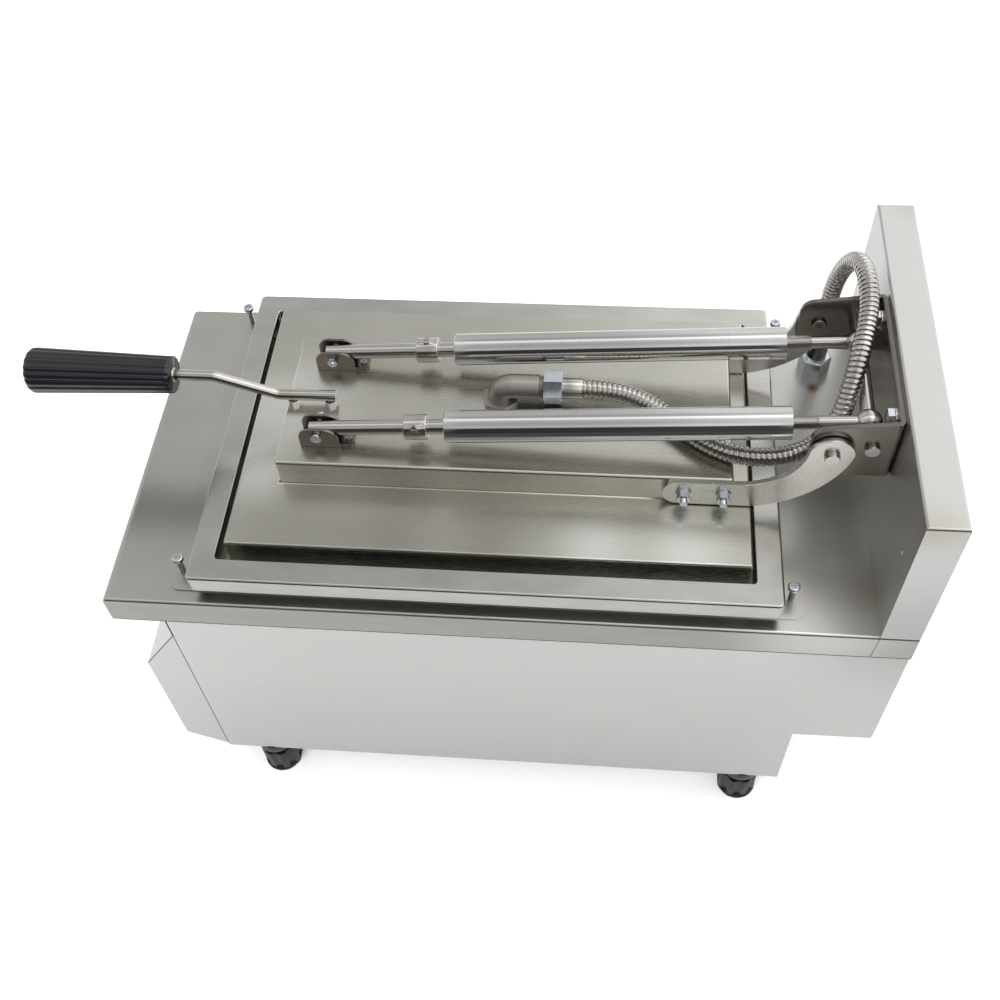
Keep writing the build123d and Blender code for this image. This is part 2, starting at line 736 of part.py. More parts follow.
ear_gap, ear_thick, ear_top = 14.0, 2.2, 90.0
ear_half = ear_gap / 2 + ear_thick
clevis_front, clevis_back = 162.5, 196.0
for name, centre in (("clevis_right", strut_x), ("clevis_left", -strut_x)):
    with BuildPart() as ears:
        with BuildSketch(upright(centre - ear_half)):
            with BuildLine():
                Line(side(clevis_back, box_top), side(clevis_front, box_top))
                Line(side(clevis_front, box_top), side(clevis_front, ear_top - 10))
                RadiusArc(side(clevis_front, ear_top - 10), side(clevis_front + 10, ear_top), 10)
                Line(side(clevis_front + 10, ear_top), side(clevis_back - 12, ear_top))
                RadiusArc(side(clevis_back - 12, ear_top), side(clevis_back, ear_top - 12), 12)
                Line(side(clevis_back, ear_top - 12), side(clevis_back, box_top))
            make_face()
            with Locations(side(*clevis)):
                Circle(2.6, mode=Mode.SUBTRACT)
        extrude(amount=2 * ear_half)
        with BuildSketch(level(box_top + 2)):
            with Locations((centre, middle(clevis_front, clevis_back))):
                Rectangle(ear_gap, 60)
        extrude(amount=30, mode=Mode.SUBTRACT)
        with BuildSketch(level(box_top)):
            with Locations((centre, middle(clevis_back, clevis_back + 12))):
                RectangleRounded(ear_gap, 12, radius=3)
                Rectangle(4, 12)
            with Locations((centre, middle(clevis_back - 1, clevis_back + 6))):
                Rectangle(ear_gap, 7)
            with Locations((centre, front_y + tab_depth)):
                Circle(2.1, mode=Mode.SUBTRACT)
        extrude(amount=2)
    ears.part.label = name
    export_step(ears.part, f"parts/{name}.step")

with BuildPart() as clevis_screws:
    for centre, outward in ((strut_x, 1), (-strut_x, -1)):
        for start, length, radius, sides in (
            (ear_half, 3.2, 4.6, 0),
            (-ear_half - 6.5, 2 * ear_half + 6.5, 2.5, 0),
            (-ear_half - 4.2, 4.2, 4.0, 6),
        ):
            low = centre + (start if outward > 0 else -start - length)
            with BuildSketch(upright(low)):
                with Locations(side(*clevis)):
                    if sides:
                        RegularPolygon(radius=radius, side_count=sides, major_radius=False)
                    else:
                        Circle(radius)
            extrude(amount=length)
        with BuildSketch(level(box_top - 8)):
            with Locations((centre, front_y + tab_depth)):
                Circle(2)
        extrude(amount=10)
        with BuildSketch(level(box_top + 2)):
            with Locations((centre, front_y + tab_depth)):
                Circle(3.0)
        extrude(amount=1.6)
clevis_screws.part.label = "clevis_screws"
export_step(clevis_screws.part, "parts/clevis_screws.step")

# ---------------------------------------------------------------- handle
rod_low, rod_high = 78.3, 99.0
grip_back, grip_front = 49.5, -76.5
with BuildPart() as handle_rod:
    with BuildLine() as rod_line:
        FilletPolyline(
            (handle_x, *side(grip_back - 30, rod_high)),
            (handle_x, *side(84, rod_high)),
            (handle_x, *side(136, rod_low)),
            (handle_x, *side(186.5, rod_low + 0.8)),
            radius=16,
        )
    rod_path = rod_line.wires()[0]
    with BuildSketch(Plane(origin=rod_path @ 0, x_dir=(1, 0, 0), z_dir=(0, 1, 0))):
        Circle(handle_rod_r)
    sweep(path=rod_path)
handle_rod.part.label = "handle_rod"
export_step(handle_rod.part, "parts/handle_rod.step")

with BuildPart() as handle_nuts:
    with BuildSketch(level(box_top)):
        with Locations(*nut_places):
            RegularPolygon(radius=4.2, side_count=6, major_radius=False)
    extrude(amount=4.6)
    with BuildSketch(level(box_top - 6)):
        with Locations(*nut_places):
            Circle(2.5)
    extrude(amount=rod_low - handle_rod_r + 2 - box_top + 6)
handle_nuts.part.label = "handle_nuts"
export_step(handle_nuts.part, "parts/handle_nuts.step")

grip_r, grip_tail_r, flute_count = 20.2, 16.2, 16
grip_end_r, grip_round = 15.0, 6.5
flute_r = 5.2


def fluted(radius):
    """Round section with shallow scallops cut all round it."""
    with Locations((handle_x, deck_z + rod_high)):
        Circle(radius)
        with PolarLocations(radius + flute_r - 0.9, flute_count):
            Circle(flute_r, mode=Mode.SUBTRACT)


with BuildPart() as handle_grip:
    with BuildSketch(facing_front(front_y + grip_back)):
        fluted(grip_tail_r)
    with BuildSketch(facing_front(front_y + grip_front)):
        fluted(grip_r)
    loft()
    with BuildSketch(upright(handle_x)):
        with BuildLine():
            Line(side(grip_back, rod_high), side(grip_front, rod_high))
            Line(side(grip_front, rod_high), side(grip_front, rod_high + grip_end_r))
            ThreePointArc(
                side(grip_front, rod_high + grip_end_r),
                side(grip_front + 0.3 * grip_round, rod_high + grip_end_r + 4.2),
                side(grip_front + grip_round, rod_high + grip_r + 1),
            )
            Line(side(grip_front + grip_round, rod_high + grip_r + 1), side(grip_back, rod_high + grip_r + 1))
            Line(side(grip_back, rod_high + grip_r + 1), side(grip_back, rod_high))
        make_face()
    revolve(axis=Axis((handle_x, *side(0, rod_high)), (0, 1, 0)), mode=Mode.INTERSECT)
    with BuildSketch(facing_front(front_y + grip_back + 1)):
        with Locations((handle_x, deck_z + rod_high)):
            Circle(handle_rod_r)
    extrude(amount=31, mode=Mode.SUBTRACT)
    with BuildSketch(facing_front(front_y + grip_back + 1)):
        with Locations((handle_x, deck_z + rod_high)):
            Circle(6.5)
            Circle(handle_rod_r, mode=Mode.SUBTRACT)
    extrude(amount=5, mode=Mode.SUBTRACT)
handle_grip.part.label = "handle_grip"
export_step(handle_grip.part, "parts/handle_grip.step")

# ---------------------------------------------------------------- conduit fittings on the lid
elbow_r = 10.4
neck_start, hex_start, ferrule_start, ferrule_end = 359.5, 363.5, 379.0, 396.0
elbow_y = front_y + elbow_depth
with BuildPart() as conduit_elbow:
    with BuildLine() as bend:
        FilletPolyline(
            (elbow_x, elbow_y, deck_z + box_top + 3.5),
            (elbow_x, elbow_y, deck_z + elbow_rise),
            (elbow_x, front_y + neck_start, deck_z + elbow_rise),
            radius=11,
        )
    bend_path = bend.wires()[0]
    with BuildSketch(level(box_top + 3.5)):
        with Locations((elbow_x, elbow_y)):
            Circle(elbow_r)
    sweep(path=bend_path)
    with BuildSketch(level(box_top - 6)):
        with Locations((elbow_x, elbow_y)):
            Circle(8.5)
    extrude(amount=9.5)
    with BuildSketch(facing_front(front_y + neck_start)):
        with Locations((elbow_x, deck_z + elbow_rise)):
            Circle(9)
    extrude(amount=-(ferrule_start - neck_start))
conduit_elbow.part.label = "conduit_elbow"
export_step(conduit_elbow.part, "parts/conduit_elbow.step")

with BuildPart() as elbow_locknut:
    with BuildSketch(level(box_top)):
        with Locations((elbow_x, elbow_y)):
            RegularPolygon(radius=14, side_count=6, major_radius=False, rotation=10)
            Circle(8.5, mode=Mode.SUBTRACT)
    extrude(amount=3.5)
elbow_locknut.part.label = "elbow_locknut"
export_step(elbow_locknut.part, "parts/elbow_locknut.step")

with BuildPart() as conduit_nut:
    with BuildSketch(facing_front(front_y + hex_start)):
        with Locations((elbow_x, deck_z + elbow_rise)):
            RegularPolygon(radius=12.5, side_count=6, major_radius=False, rotation=8)
            Circle(9, mode=Mode.SUBTRACT)
    extrude(amount=-(ferrule_start - hex_start))
conduit_nut.part.label = "conduit_nut"
export_step(conduit_nut.part, "parts/conduit_nut.step")

with BuildPart() as conduit_ferrule:
    with BuildSketch(facing_front(front_y + ferrule_start)):
        with Locations((elbow_x, deck_z + elbow_rise)):
            Circle(8.9)
            Circle(5.5, mode=Mode.SUBTRACT)
    extrude(amount=-(ferrule_end - ferrule_start))
conduit_ferrule.part.label = "conduit_ferrule"
export_step(conduit_ferrule.part, "parts/conduit_ferrule.step")

# ---------------------------------------------------------------- spring struts
strut_dy, strut_dz = anchor[0] - clevis[0], anchor[1] - clevis[1]
strut_len = math.hypot(strut_dy, strut_dz)
strut_dir = (0, strut_dy / strut_len, strut_dz / strut_len)
eye_r, eye_half = 10.5, 6.5
piston_start, piston_end = 255.0, 270.0
cap_bore = rod_r + 1.6


def along(x, distance):
    """Plane square to a strut's axis, at a distance from its front pin, with its normal rearwards."""
    origin = (x, side(*clevis)[0] + strut_dir[1] * distance, side(*clevis)[1] + strut_dir[2] * distance)
    return Plane(origin=origin, x_dir=(1, 0, 0), z_dir=strut_dir)


def ring(x, start, end, outer, inner=0.0):
    """Round bar or sleeve on a strut's axis between two distances from its front pin."""
    with BuildSketch(along(x, start)) as section:
        Circle(outer)
        if inner > 0:
            Circle(inner, mode=Mode.SUBTRACT)
    extrude(section.sketch, amount=end - start)


for hand, x in (("right", strut_x), ("left", -strut_x)):
    with BuildPart() as tube:
        ring(x, tube_start, tube_end, tube_r, tube_bore)
        ring(x, tube_start, tube_start + 8, tube_r, cap_bore)
        front_rims = tube.edges().filter_by(GeomType.CIRCLE).group_by(Axis.Y)[0]
        chamfer(front_rims.sort_by(SortBy.RADIUS)[-1], length=0.8)
        ring(x, tube_end - 12, tube_end, tube_r, 5)
    tube.part.label = f"strut_tube_{hand}"
    export_step(tube.part, f"parts/strut_tube_{hand}.step")

    with BuildPart() as eye_rod:
        ring(x, tube_end - 12, tube_end, 5)
        ring(x, tube_end, tube_end + 19, 6)
        ring(x, tube_end + 19, strut_len - 6, 5.2)
        with Locations(along(x, strut_len).location):
            Sphere(eye_r)
        for offcut in (eye_half + 10, -eye_half - 10):
            with BuildSketch(upright(x + offcut - 10)):
                with Locations(side(*anchor)):
                    Circle(14)
            extrude(amount=20, mode=Mode.SUBTRACT)
        with BuildSketch(upright(x - 12)):
            with Locations(side(*anchor)):
                Circle(pin_r + running)
        extrude(amount=24, mode=Mode.SUBTRACT)
    eye_rod.part.label = f"eye_rod_{hand}"
    export_step(eye_rod.part, f"parts/eye_rod_{hand}.step")

    with BuildPart() as spring:
        ring(x, tube_start + 9, piston_start - 0.5, 11, 8.4)
    spring.part.label = f"strut_spring_{hand}"
    export_step(spring.part, f"parts/strut_spring_{hand}.step")

    with BuildPart() as rod:
        ring(x, -6.5, piston_end, rod_r)
        ring(x, piston_start, piston_end, 10)
        with BuildSketch(upright(x - 12)):
            with Locations(side(*clevis)):
                Circle(2.5 + running)
        extrude(amount=24, mode=Mode.SUBTRACT)
    rod.part.label = f"strut_rod_{hand}"
    export_step(rod.part, f"parts/strut_rod_{hand}.step")

    with BuildPart() as collar:
        ring(x, collar_start, collar_end, 10.6, rod_r)
        chamfer(collar.edges().filter_by(GeomType.CIRCLE).sort_by(SortBy.RADIUS)[-2:], length=0.8)
        middle_plane = along(x, (collar_start + collar_end) / 2)
        tilt = 40 if x > 0 else 90
        for turn in (math.radians(tilt), math.radians(tilt + 180)):
            outward = middle_plane.x_dir * math.cos(turn) - middle_plane.y_dir * math.sin(turn)
            lean = Plane(origin=middle_plane.origin, x_dir=strut_dir, z_dir=outward)
            with BuildSketch(lean.offset(9.6)):
                Circle(3.2)
            extrude(amount=3)
            with BuildSketch(lean.offset(12.6)):
                Rectangle(3.6, 0.8)
            extrude(amount=-1, mode=Mode.SUBTRACT)
    collar.part.label = f"stop_collar_{hand}"
    export_step(collar.part, f"parts/stop_collar_{hand}.step")

# ---------------------------------------------------------------- flexible conduit
conduit_route = [
    (elbow_x, *side(ferrule_end, elbow_rise)),
    (elbow_x, *side(420, elbow_rise)),
    (-1, *side(448, 81.5)),
    (20, *side(474, 79.0)),
    (41, *side(498, 78.5)),
    (53, *side(526, 78.5)),
    (54, *side(556, 80.0)),
    (47, *side(582, 86.0)),
    (34, *side(600, 101.0)),
    (19, *side(607, 121.0)),
    (0, *side(613, 138.0)),
    (-25, *side(619, 148.0)),
    (-50, *side(623, 155.0)),
    (-75, *side(622, 161.0)),
    (-99, *side(618, 155.0)),
    (-114, *side(613, 134.0)),
    (-119.5, *side(609, 108.0)),
    (gland_x, *side(gland_depth, 78)),
    (gland_x, *side(gland_depth, gland_top)),
]


def bend_radii(points):
    """Radius at each inner corner: 0.45 of its shorter run over the tangent of half the turn."""
    radii = []
    for before, corner, after in zip(points, points[1:], points[2:]):
        run_in, run_out = Vector(*corner) - Vector(*before), Vector(*after) - Vector(*corner)
        turn = math.radians(run_in.get_angle(run_out))
        radii.append(0.45 * min(run_in.length, run_out.length) / math.tan(turn / 2))
    return radii


radii = bend_radii(conduit_route)
print("conduit bend radii, mm:", [round(radius) for radius in radii])
with BuildPart() as conduit:
    with BuildLine() as conduit_line:
        FilletPolyline(*conduit_route, radius=radii)
    conduit_path = conduit_line.wires()[0]
    with BuildSketch(facing_front(front_y + ferrule_end)):
        with Locations((elbow_x, deck_z + elbow_rise)):
            Circle(conduit_r)
    sweep(path=conduit_path)
section = math.pi * conduit_r**2
print("conduit length, mm:", round(conduit_path.length), "volume over section times length:",
      round(conduit.part.volume / section / conduit_path.length, 4))
conduit.part.label = "conduit"
export_step(conduit.part, "parts/conduit.step")
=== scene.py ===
"""Looks of the countertop press baker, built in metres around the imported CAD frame.

+Z is up, +Y runs from the operator to the splash guard and +X is the operator's right. Places come
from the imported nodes' boxes and from the joints, so the pieces follow the CAD model.
"""

import json
import math

import bpy
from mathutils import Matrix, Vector


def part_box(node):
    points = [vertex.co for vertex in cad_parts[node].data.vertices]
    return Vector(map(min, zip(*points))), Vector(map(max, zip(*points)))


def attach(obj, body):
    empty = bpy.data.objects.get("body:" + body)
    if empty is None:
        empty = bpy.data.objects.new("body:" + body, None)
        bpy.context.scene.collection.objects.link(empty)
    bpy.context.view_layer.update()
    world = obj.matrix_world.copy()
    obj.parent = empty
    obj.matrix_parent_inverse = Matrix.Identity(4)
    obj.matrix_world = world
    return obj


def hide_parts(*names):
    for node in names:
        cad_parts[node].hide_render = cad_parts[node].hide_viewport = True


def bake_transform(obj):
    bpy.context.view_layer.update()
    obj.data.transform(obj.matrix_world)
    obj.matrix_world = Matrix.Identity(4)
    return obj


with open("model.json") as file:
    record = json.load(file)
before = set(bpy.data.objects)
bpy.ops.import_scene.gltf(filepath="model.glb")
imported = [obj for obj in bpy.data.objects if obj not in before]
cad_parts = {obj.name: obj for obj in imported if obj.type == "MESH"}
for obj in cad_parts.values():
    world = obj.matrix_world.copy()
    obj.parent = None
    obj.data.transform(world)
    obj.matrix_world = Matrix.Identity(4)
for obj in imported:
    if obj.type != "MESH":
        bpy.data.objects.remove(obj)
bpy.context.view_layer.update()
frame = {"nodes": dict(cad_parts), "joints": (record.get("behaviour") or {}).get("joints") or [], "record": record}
nodes = frame["nodes"]
MM = 0.001


# ---------------------------------------------------------------- places read from the frame
def joint_point(name):
    """Point on a joint's axis, at rest."""
    return Vector(next(j for j in frame["joints"] if j["name"] == name)["pos_m"])


def centre(node):
    low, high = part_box(node)
    return (low + high) / 2


deck_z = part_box("deck_top")[1].z
pivot = joint_point("lid_hinge")
anchor = joint_point("tube_swing_right")
clevis = joint_point("rod_swing_right")
strut_way = (anchor - clevis).normalized()
strut_length = (anchor - clevis).length


def on_strut(side, distance):
    """Point on the right (1) or left (-1) strut's axis, at a distance from its front pin."""
    point = clevis + strut_way * distance
    return Vector((side * abs(clevis.x), point.y, point.z))


# ---------------------------------------------------------------- camera
camera_place = Vector((0.666, 0.120, 1.192))
camera_target = Vector((0.0929, 0.0394, 0.400))
camera_roll = math.radians(-4.1)
camera_data = bpy.data.cameras.new("camera")
camera_data.lens = 43.4
camera_data.sensor_width = 36
camera = bpy.data.objects.new("camera", camera_data)
look = (camera_target - camera_place).to_track_quat("-Z", "Y").to_matrix().to_4x4()
camera.matrix_world = look
camera.rotation_euler.rotate_axis("Z", camera_roll)
camera.location = camera_place
bpy.context.scene.collection.objects.link(camera)
bpy.context.scene.camera = camera


# ---------------------------------------------------------------- material helpers
def add(tree, kind, settings=None, **values):
    """New node; settings are its properties and values its unlinked inputs, by name."""
    node = tree.nodes.new(kind)
    for key, value in (settings or {}).items():
        setattr(node, key, value)
    for key, value in values.items():
        node.inputs[key.replace("_", " ")].default_value = value
    return node


def feed(tree, socket, source):
    """Link a socket to another, or set it where the source is a plain value."""
    if isinstance(source, bpy.types.NodeSocket):
        tree.links.new(source, socket)
    else:
        socket.default_value = source


def maths(tree, operation, *sources):
    """Result of an operation on sockets or numbers."""
    node = add(tree, "ShaderNodeMath", {"operation": operation})
    for source, socket in zip(sources, node.inputs):
        feed(tree, socket, source)
    return node.outputs[0]


def coordinate(tree, source, axis):
    """X, Y or Z of a vector."""
    node = add(tree, "ShaderNodeSeparateXYZ")
    tree.links.new(source, node.inputs[0])
    return node.outputs[axis]


def ramp(tree, source, low, high):
    """Linear map of a 0 to 1 value to the span from low to high."""
    node = add(tree, "ShaderNodeMapRange", To_Min=low, To_Max=high)
    tree.links.new(source, node.inputs["Value"])
    return node.outputs["Result"]


def noise(tree, coordinates, scale, detail=3.0):
    """Noise drawn out by a different scale along each axis."""
    spread = add(tree, "ShaderNodeMapping", Scale=scale)
    tree.links.new(coordinates, spread.inputs["Vector"])
    node = add(tree, "ShaderNodeTexNoise", Scale=1.0, Detail=detail, Roughness=0.55)
    tree.links.new(spread.outputs["Vector"], node.inputs["Vector"])
    return node.outputs["Fac"]


def blend_colour(tree, factor, first, second):
    """Mix of two colours, each a socket or four numbers."""
    node = add(tree, "ShaderNodeMix", {"data_type": "RGBA"})
    tree.links.new(factor, node.inputs[0])
    feed(tree, node.inputs[6], first)
    feed(tree, node.inputs[7], second)
    return node.outputs[2]


def shade(colour, factor):
    return (*(min(1.0, c * factor) for c in colour), 1.0)


def spot_factor(tree, coordinates, place, radius, strength):
    """Strength at a place, fading to nothing at a radius."""
    gap = add(tree, "ShaderNodeVectorMath", {"operation": "DISTANCE"})
    tree.links.new(coordinates, gap.inputs[0])
    gap.inputs[1].default_value = place
    fade = add(tree, "ShaderNodeMapRange", {"interpolation_type": "SMOOTHSTEP"},
               From_Max=radius, To_Min=strength, To_Max=0.0)
    tree.links.new(gap.outputs["Value"], fade.inputs["Value"])
    return fade.outputs["Result"]


def material(name, colour, rough, metallic=0.0, grain=(400, 400, 400), streak=0.05, cloud=0.08,
             cloud_size=14, bump=0.000004, rough_spread=0.06, spots=(), coat=0.0, upright_painted_tone=1.0):
    """Surface with a grain, a cloudy change of tone, a bump from the grain, stains, painted highlights and painted
    shade at spots, and painted shade on upright faces.

    cloud_size is one number or one for each axis, and the last argument is the share of colour kept on upright
    faces, which are darkened towards black as painted shade.
    """
    made = bpy.data.materials.new(name)
    made.use_nodes = True
    tree = made.node_tree
    shader = tree.nodes["Principled BSDF"]
    shader.inputs["Metallic"].default_value = metallic
    shader.inputs["Coat Weight"].default_value = coat
    coordinates = add(tree, "ShaderNodeTexCoord").outputs["Object"]
    fine = noise(tree, coordinates, grain)
    sizes = cloud_size if isinstance(cloud_size, tuple) else (cloud_size,) * 3
    broad = noise(tree, coordinates, sizes, detail=4.0)
    tone = blend_colour(tree, broad, shade(colour, 1 - cloud), shade(colour, 1 + cloud))
    streaked = blend_colour(tree, ramp(tree, fine, 0, streak), tone, (0, 0, 0, 1))
    # the spots paint stains, painted highlights and painted shade into the colour
    for place, radius, spot_colour, strength in spots:
        factor = spot_factor(tree, coordinates, place, radius, strength)
        streaked = blend_colour(tree, factor, streaked, (*spot_colour, 1))
    # painted shade: upright faces are darkened towards black, tops are left as they are
    if upright_painted_tone < 1.0:
        facing = coordinate(tree, add(tree, "ShaderNodeNewGeometry").outputs["Normal"], "Z")
        streaked = blend_colour(tree, ramp(tree, facing, 1 - upright_painted_tone, 0.0), streaked, (0, 0, 0, 1))
    tree.links.new(streaked, shader.inputs["Base Color"])
    spread = rough_spread / 2
    fine_rough = ramp(tree, fine, -spread, spread)
    broad_rough = ramp(tree, broad, rough - spread, rough + spread)
    tree.links.new(maths(tree, "ADD", fine_rough, broad_rough), shader.inputs["Roughness"])
    relief = add(tree, "ShaderNodeBump", Strength=0.5, Distance=bump)
    tree.links.new(fine, relief.inputs["Height"])
    tree.links.new(relief.outputs["Normal"], shader.inputs["Normal"])
    return made


def banded_tube(name, node):
    """Polished steel that turns satin over a band at each end of a strut tube."""
    made = material(name, (0.75, 0.745, 0.73), 0.1, 1.0, grain=(60, 1400, 60), streak=0.12,
                    cloud=0.06, rough_spread=0.06)
    tree = made.node_tree
    shader = tree.nodes["Principled BSDF"]
    low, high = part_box(node)
    along = coordinate(tree, add(tree, "ShaderNodeTexCoord").outputs["Object"], "Y")
    from_middle = maths(tree, "ABSOLUTE", maths(tree, "SUBTRACT", along, (low.y + high.y) / 2))
    half = (high.y - low.y) / 2
    satin = add(tree, "ShaderNodeMapRange", {"interpolation_type": "SMOOTHSTEP"},
                From_Min=half - 18 * MM, From_Max=half - 2 * MM, To_Max=0.16)
    tree.links.new(from_middle, satin.inputs["Value"])
    plain = shader.inputs["Roughness"].links[0].from_socket
    tree.links.new(maths(tree, "ADD", plain, satin.outputs["Result"]), shader.inputs["Roughness"])
    return made


# ---------------------------------------------------------------- materials
along_y, along_x, along_z = (1300, 12, 1300), (12, 1300, 1300), (1300, 1300, 12)
brown, straw, soot = (0.22, 0.13, 0.06), (0.5, 0.42, 0.27), (0.09, 0.08, 0.07)
# the first of these three colours is a painted highlight, the second and third are painted shade
painted_highlight, painted_shade, shadowed = (0.9, 0.89, 0.84), (0.42, 0.41, 0.35), (0.4, 0.4, 0.39)
splash_low, splash_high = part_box("splash_guard")
lid_box_low, lid_box_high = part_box("lid_box")
handle_low, handle_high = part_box("handle_nuts")
handle_x = 0.004
grip_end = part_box("handle_grip")[1]
lid_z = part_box("lid_cover")[1].z
lid_edge = 0.12
lid_front = -0.172
tab_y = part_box("clevis_screws")[1].y - 3 * MM
ear_back, ear_low = clevis.y + 0.03, clevis.z - 0.02

# each spot, stains, painted highlights and painted shade alike, is a place, a radius, a colour and a strength
deck_stains_and_highlight = [
    # painted highlight: a bright patch on the deck in front of the splash guard, to the right
    ((0.15, splash_low.y - 0.05, deck_z), 0.09, painted_highlight, 1.0),
    ((-0.093, pivot.y + 0.015, deck_z), 0.009, brown, 1.0),
    ((0.13, splash_low.y, deck_z), 0.03, straw, 0.35),
]
cabinet_stains_and_shade = [
    # the first two spots are painted shade round the back right corner of the deck and cabinet, the last two are
    # stains
    ((splash_high.x, splash_high.y, deck_z), 0.13, shadowed, 0.85),
    ((splash_high.x, splash_high.y, 0.2), 0.22, shadowed, 0.4),
    ((splash_high.x, splash_low.y + 0.006, splash_high.z), 0.035, straw, 0.4),
    ((splash_low.x, splash_high.y, splash_high.z), 0.03, straw, 0.35),
]
lid_stains_highlights_and_shade = [
    # the first five spots are painted highlights at the lid box's front edge and along the lid's front and right
    # side, the next three are painted shade on the lid top's right side, and the rest are stains
    ((0.0, lid_box_low.y, lid_box_high.z), 0.085, painted_highlight, 0.9),
    ((-0.02, lid_front, lid_z), 0.05, painted_highlight, 0.8),
    ((0.06, lid_front, lid_z), 0.05, painted_highlight, 0.8),
    ((lid_edge, 0.12, lid_z), 0.05, painted_highlight, 0.8),
    ((lid_edge, 0.19, lid_z), 0.06, painted_highlight, 0.8),
    ((lid_edge, -0.13, lid_z), 0.075, painted_shade, 0.6),
    ((lid_edge, -0.05, lid_z), 0.075, painted_shade, 0.85),
    ((lid_edge, 0.03, lid_z), 0.065, painted_shade, 0.95),
    ((abs(clevis.x), ear_back, ear_low), 0.022, straw, 0.45),
    ((-abs(clevis.x), ear_back, ear_low), 0.022, straw, 0.45),
    ((handle_low.x, handle_low.y, handle_low.z), 0.02, straw, 0.5),
]
bracket_stains = [((-0.068, pivot.y, pivot.z), 0.014, soot, 0.6)]
rod_stains = [
    ((-0.064, pivot.y, pivot.z), 0.014, soot, 0.95),
    ((handle_x, handle_low.y, handle_high.z), 0.014, straw, 0.8),
    ((handle_x, handle_high.y + 0.004, handle_high.z), 0.008, brown, 0.9),
    ((handle_x, grip_end.y + 0.002, grip_end.z - 0.02), 0.009, brown, 0.7),
    ((clevis.x, clevis.y + 0.034, clevis.z), 0.0075, brown, 0.5),
]
fastener_stains = [
    ((clevis.x, tab_y, clevis.z - 0.012), 0.008, soot, 0.8),
    ((-clevis.x, tab_y, clevis.z - 0.012), 0.008, soot, 0.8),
    ((handle_x, handle_low.y + 0.004, handle_low.z + 0.008), 0.009, brown, 0.5),
    ((handle_x, handle_high.y - 0.004, handle_low.z + 0.008), 0.009, brown, 0.6),
]

# each row is a colour, a roughness, a metal share and what differs from the plain surface
rows = {
    # painted shade: the deck, cabinet and frame darken their upright faces towards black
    "deck_steel": ((0.6, 0.59, 0.55), 0.31, 1.0, dict(
        grain=along_x, streak=0.12, cloud=0.2, cloud_size=(9, 7, 60), rough_spread=0.08, upright_painted_tone=0.62,
        spots=deck_stains_and_highlight)),
    "cabinet_steel": ((0.64, 0.64, 0.625), 0.34, 1.0, dict(
        grain=along_y, streak=0.08, cloud=0.05, cloud_size=(6, 4, 10), upright_painted_tone=0.97, spots=cabinet_stains_and_shade)),
    "frame_steel": ((0.63, 0.62, 0.58), 0.24, 1.0, dict(
        grain=along_y, streak=0.14, cloud=0.22, cloud_size=(30, 14, 30), rough_spread=0.14, upright_painted_tone=0.8)),
    "lid_steel": ((0.63, 0.62, 0.555), 0.27, 1.0, dict(
        grain=along_y, streak=0.14, cloud=0.16, cloud_size=(16, 9, 30), rough_spread=0.14,
        spots=lid_stains_highlights_and_shade)),
    "bracket_steel": ((0.25, 0.225, 0.2), 0.24, 1.0, dict(
        grain=along_z, cloud=0.2, cloud_size=24, spots=bracket_stains)),
    "arm_steel": ((0.7, 0.69, 0.65), 0.28, 1.0, dict(grain=(60, 700, 60), streak=0.1)),
    "rod_steel": ((0.6, 0.58, 0.55), 0.2, 1.0, dict(grain=(500, 60, 500), cloud=0.06, spots=rod_stains)),
    "fastener_zinc": ((0.66, 0.7, 0.74), 0.2, 1.0, dict(
        grain=(260, 260, 260), cloud=0.12, cloud_size=160, spots=fastener_stains)),
    "elbow_steel": ((0.42, 0.4, 0.37), 0.42, 1.0, dict(grain=(1500, 1500, 1500), streak=0.14, bump=0.00012)),
    "conduit_steel": ((0.55, 0.53, 0.5), 0.15, 1.0, dict(grain=(320, 320, 320), cloud=0.1, cloud_size=60)),
    "grip_black": ((0.006, 0.006, 0.008), 0.2, 0.0, dict(
        grain=(240, 30, 240), streak=0.1, cloud=0.3, cloud_size=40, bump=0.00002, coat=0.1)),
    "foot_black": ((0.005, 0.005, 0.007), 0.38, 0.0, dict(
        grain=(900, 900, 900), streak=0.25, cloud=0.25, cloud_size=60, bump=0.0001)),
    "plate_cast": ((0.06, 0.06, 0.062), 0.46, 0.3, dict(
        grain=(900, 900, 900), streak=0.25, cloud=0.2, cloud_size=30, bump=0.00015)),
    "heater_steel": ((0.16, 0.13, 0.11), 0.45, 1.0, dict(grain=(200, 200, 200), cloud=0.3)),
    "insulation": ((0.78, 0.74, 0.62), 0.9, 0.0, dict(
        grain=(260, 900, 260), streak=0.3, cloud=0.15, bump=0.0005)),
    "fascia": ((0.5, 0.5, 0.51), 0.34, 1.0, dict(grain=along_x, cloud=0.05)),
    "knob_black": ((0.016, 0.016, 0.016), 0.34, 0.0, dict(
        grain=(900, 900, 900), streak=0.2, cloud=0.2, cloud_size=80, bump=0.00005)),
    "switch_red": ((0.5, 0.02, 0.015), 0.22, 0.0, dict(grain=(500, 500, 500), cloud=0.1, coat=0.3)),
    "lamp_lens": ((0.62, 0.07, 0.02), 0.14, 0.0, dict(
        grain=(300, 300, 300), cloud=0.2, cloud_size=200, coat=0.5)),
    "control_plastic": ((0.7, 0.67, 0.57), 0.5, 0.0, dict(grain=(700, 700, 700), cloud=0.05)),
    # painted shade for the dark strips in the seams between the sheets
    "seam_dark": ((0.02, 0.02, 0.018), 0.7, 0.0, dict(grain=(300, 300, 300), streak=0.3)),
    "dial_white": ((0.85, 0.85, 0.82), 0.5, 0.0, dict(grain=(900, 900, 900), streak=0.08)),
}
looks = {name: material(name, colour, rough, metallic, **details)
         for name, (colour, rough, metallic, details) in rows.items()}
looks["tube_steel"] = banded_tube("tube_steel", "strut_tube_right")

